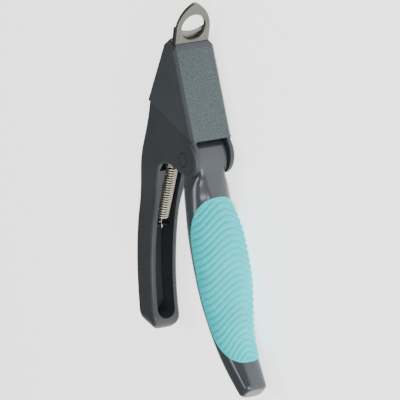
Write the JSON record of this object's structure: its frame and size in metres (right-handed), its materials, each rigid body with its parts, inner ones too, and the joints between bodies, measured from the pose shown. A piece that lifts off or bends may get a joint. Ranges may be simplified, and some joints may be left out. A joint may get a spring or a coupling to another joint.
{
  "type": "guillotine nail clipper",
  "caption": "Hand clipper for pets' claws: a sprung lever pushes a blade across the hole of a fixed ring plate at the head.",
  "frame": {"origin": "centre of the claw hole, in the middle of the ring plate's thickness", "axes": "+X out of the claw hole towards the lever's side, +Y along the blade's travel to the tip, +Z across the head, up when the tool lies on its side"},
  "size_m": [0.0766, 0.1195, 0.0186],
  "materials": {
    "handle_plastic": "moulded, satin",
    "cover_plastic": "moulded with a spark-textured front",
    "lever_plastic": "moulded, semi-gloss",
    "carrier_plastic": "natural acetal",
    "grip_rubber": "ribbed thermoplastic rubber",
    "plate_steel": "satin, stamped",
    "blade_steel": "ground",
    "pin_steel": "turned",
    "spring_steel": "bright drawn wire",
    "bush_brass": "turned"
  },
  "bodies": {
    "frame": {"fixed_handle": "handle_plastic", "head_cover": "cover_plastic", "ring_plate": "plate_steel", "guide_plate": "plate_steel", "guide_spacer_left": "plate_steel", "guide_spacer_right": "plate_steel", "guide_rivets": "pin_steel", "pivot_pin": "pin_steel", "pivot_cap_left": "handle_plastic", "pivot_cap_right": "handle_plastic", "spring_anchor_pin": "pin_steel"},
    "blade_slide_body": {"blade": "blade_steel", "blade_carrier": "carrier_plastic", "blade_screws": "pin_steel", "spring_hook_pin": "pin_steel", "return_spring": "spring_steel"},
    "lever": {"lever_core": "lever_plastic", "grip_sleeve": "grip_rubber", "pivot_bush": "bush_brass", "drive_pin": "pin_steel"}
  },
  "joints": [
    {"name": "lever_joint", "type": "hinge", "parent": "frame", "child": "lever", "pos_m": [0.0149, -0.0406, 0], "axis": [0, 0, -1], "range_deg": [0, 28], "stiffness_Nm_per_rad": 0.12, "springref_deg": -20.05},
    {"name": "blade_slide", "type": "slide", "parent": "frame", "child": "blade_slide_body", "axis": [0, 1, 0], "range_m": [0, 0.00795], "deforming": ["return_spring"]}
  ],
  "couplings": [
    {"joint": "blade_slide", "follows": "lever_joint", "m_per_rad": 0.016237}
  ]
}
